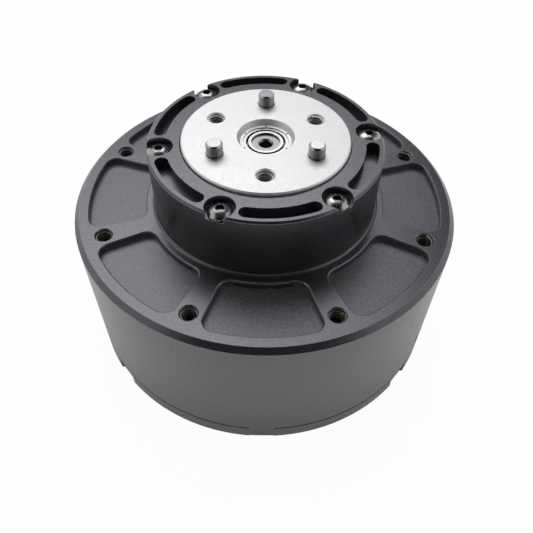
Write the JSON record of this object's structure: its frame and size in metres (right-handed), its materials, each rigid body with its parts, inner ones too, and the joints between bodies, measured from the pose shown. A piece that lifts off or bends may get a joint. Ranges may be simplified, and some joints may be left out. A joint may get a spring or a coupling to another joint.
{
  "type": "robot joint actuator",
  "caption": "Brushless robot joint actuator: black drum with tapped mounting flange, two-stage planetary reduction and a bright output flange with dowels.",
  "frame": {"origin": "centre of the rear face that it stands on", "axes": "+Z along the output axis towards the output flange; -Y is the front, and the sockets are at the back, +Y"},
  "size_m": [0.098, 0.098, 0.062],
  "materials": {
    "black_anodised": "satin bead-blasted black anodised",
    "machined_aluminium": "fine machined, clear anodised",
    "stainless_steel": "turned stainless",
    "black_steel": "black oxide",
    "gear_steel": "ground",
    "bearing_steel": "ground and polished",
    "magnet_nickel": "nickel plated",
    "lamination_steel": "stacked electrical steel",
    "copper_winding": "enamelled copper",
    "contact_brass": "gold plated",
    "circuit_board": "solder mask",
    "component_black": "moulded",
    "capacitor_can": "drawn can",
    "socket_yellow": "moulded nylon",
    "socket_white": "moulded nylon",
    "pad_grey": "soft filled silicone",
    "gasket_black": "matt"
  },
  "bodies": {
    "housing": {"front_housing": "black_anodised", "bearing_cover_ring": "black_anodised", "cover_ring_screws": "stainless_steel", "ring_gear": "gear_steel", "gearbox_end_plate": "machined_aluminium", "end_plate_screws": "stainless_steel", "stator_core": "lamination_steel", "stator_windings": "copper_winding", "phase_leads": "copper_winding", "rear_bearing_plate": "machined_aluminium", "rear_plate_screws": "stainless_steel", "plate_grub_screw": "black_steel", "driver_board": "circuit_board", "board_screws": "stainless_steel", "power_transistors": "component_black", "bus_capacitors": "capacitor_can", "control_chip": "component_black", "encoder_chip": "component_black", "power_socket": "socket_yellow", "power_contacts": "contact_brass", "signal_sockets": "socket_white", "signal_contacts": "contact_brass", "thermal_pad": "pad_grey", "rear_cover": "black_anodised", "rear_cover_screws": "stainless_steel", "cover_gasket": "gasket_black", "output_bearing_outer_race": "bearing_steel", "front_rotor_bearing_outer_race": "bearing_steel", "rear_rotor_bearing_outer_race": "bearing_steel"},
    "output": {"output_flange": "machined_aluminium", "output_dowel_pins": "stainless_steel", "output_bearing_inner_race": "bearing_steel", "output_circlip": "black_steel", "output_carrier_plate": "machined_aluminium", "carrier_plate_screws": "stainless_steel", "second_planet_pins": "gear_steel", "centre_bearing_outer_race": "bearing_steel"},
    "first_carrier": {"first_carrier_front_plate": "machined_aluminium", "first_carrier_rear_plate": "machined_aluminium", "first_carrier_screws": "stainless_steel", "first_planet_pins": "gear_steel", "second_sun_shaft": "gear_steel", "centre_bearing_inner_race": "bearing_steel"},
    "rotor": {"rotor_cup": "black_steel", "rotor_magnets": "magnet_nickel", "rotor_shaft": "gear_steel", "first_sun_gear": "gear_steel", "encoder_magnet": "magnet_nickel", "front_rotor_bearing_inner_race": "bearing_steel", "rear_rotor_bearing_inner_race": "bearing_steel"},
    "first_planet_1_body": {"first_planet_1": "gear_steel"},
    "first_planet_2_body": {"first_planet_2": "gear_steel"},
    "first_planet_3_body": {"first_planet_3": "gear_steel"},
    "second_planet_1_body": {"second_planet_1": "gear_steel"},
    "second_planet_2_body": {"second_planet_2": "gear_steel"},
    "second_planet_3_body": {"second_planet_3": "gear_steel"},
    "output_bearing_balls_body": {"output_bearing_balls": "bearing_steel"},
    "centre_bearing_balls_body": {"centre_bearing_balls": "bearing_steel"},
    "front_rotor_bearing_balls_body": {"front_rotor_bearing_balls": "bearing_steel"},
    "rear_rotor_bearing_balls_body": {"rear_rotor_bearing_balls": "bearing_steel"}
  },
  "joints": [
    {"name": "rotor_turn", "type": "hinge", "parent": "housing", "child": "rotor", "pos_m": [0, 0, 0], "axis": [0, 0, 1], "continuous": true},
    {"name": "first_carrier_turn", "type": "hinge", "parent": "housing", "child": "first_carrier", "pos_m": [0, 0, 0], "axis": [0, 0, 1], "continuous": true},
    {"name": "output_turn", "type": "hinge", "parent": "housing", "child": "output", "pos_m": [0, 0, 0], "axis": [0, 0, 1], "continuous": true},
    {"name": "first_planet_1_spin", "type": "hinge", "parent": "first_carrier", "child": "first_planet_1_body", "pos_m": [0.01091, -0.0063, 0], "axis": [0, 0, 1], "continuous": true},
    {"name": "first_planet_2_spin", "type": "hinge", "parent": "first_carrier", "child": "first_planet_2_body", "pos_m": [0, 0.0126, 0], "axis": [0, 0, 1], "continuous": true},
    {"name": "first_planet_3_spin", "type": "hinge", "parent": "first_carrier", "child": "first_planet_3_body", "pos_m": [-0.01091, -0.0063, 0], "axis": [0, 0, 1], "continuous": true},
    {"name": "second_planet_1_spin", "type": "hinge", "parent": "output", "child": "second_planet_1_body", "pos_m": [0, -0.0126, 0], "axis": [0, 0, 1], "continuous": true},
    {"name": "second_planet_2_spin", "type": "hinge", "parent": "output", "child": "second_planet_2_body", "pos_m": [0.01091, 0.0063, 0], "axis": [0, 0, 1], "continuous": true},
    {"name": "second_planet_3_spin", "type": "hinge", "parent": "output", "child": "second_planet_3_body", "pos_m": [-0.01091, 0.0063, 0], "axis": [0, 0, 1], "continuous": true},
    {"name": "output_cage_turn", "type": "hinge", "parent": "housing", "child": "output_bearing_balls_body", "pos_m": [0, 0, 0], "axis": [0, 0, 1], "continuous": true},
    {"name": "centre_cage_turn", "type": "hinge", "parent": "housing", "child": "centre_bearing_balls_body", "pos_m": [0, 0, 0], "axis": [0, 0, 1], "continuous": true},
    {"name": "front_rotor_cage_turn", "type": "hinge", "parent": "housing", "child": "front_rotor_bearing_balls_body", "pos_m": [0, 0, 0], "axis": [0, 0, 1], "continuous": true},
    {"name": "rear_rotor_cage_turn", "type": "hinge", "parent": "housing", "child": "rear_rotor_bearing_balls_body", "pos_m": [0, 0, 0], "axis": [0, 0, 1], "continuous": true}
  ],
  "couplings": [
    {"joint": "first_carrier_turn", "follows": "rotor_turn", "ratio": 0.16667},
    {"joint": "output_turn", "follows": "rotor_turn", "ratio": 0.027778},
    {"joint": "first_planet_1_spin", "follows": "rotor_turn", "ratio": -0.41667},
    {"joint": "first_planet_2_spin", "follows": "rotor_turn", "ratio": -0.41667},
    {"joint": "first_planet_3_spin", "follows": "rotor_turn", "ratio": -0.41667},
    {"joint": "second_planet_1_spin", "follows": "rotor_turn", "ratio": -0.069444},
    {"joint": "second_planet_2_spin", "follows": "rotor_turn", "ratio": -0.069444},
    {"joint": "second_planet_3_spin", "follows": "rotor_turn", "ratio": -0.069444},
    {"joint": "output_cage_turn", "follows": "rotor_turn", "ratio": 0.012703},
    {"joint": "centre_cage_turn", "follows": "rotor_turn", "ratio": 0.087963},
    {"joint": "front_rotor_cage_turn", "follows": "rotor_turn", "ratio": 0.40909},
    {"joint": "rear_rotor_cage_turn", "follows": "rotor_turn", "ratio": 0.40909}
  ]
}
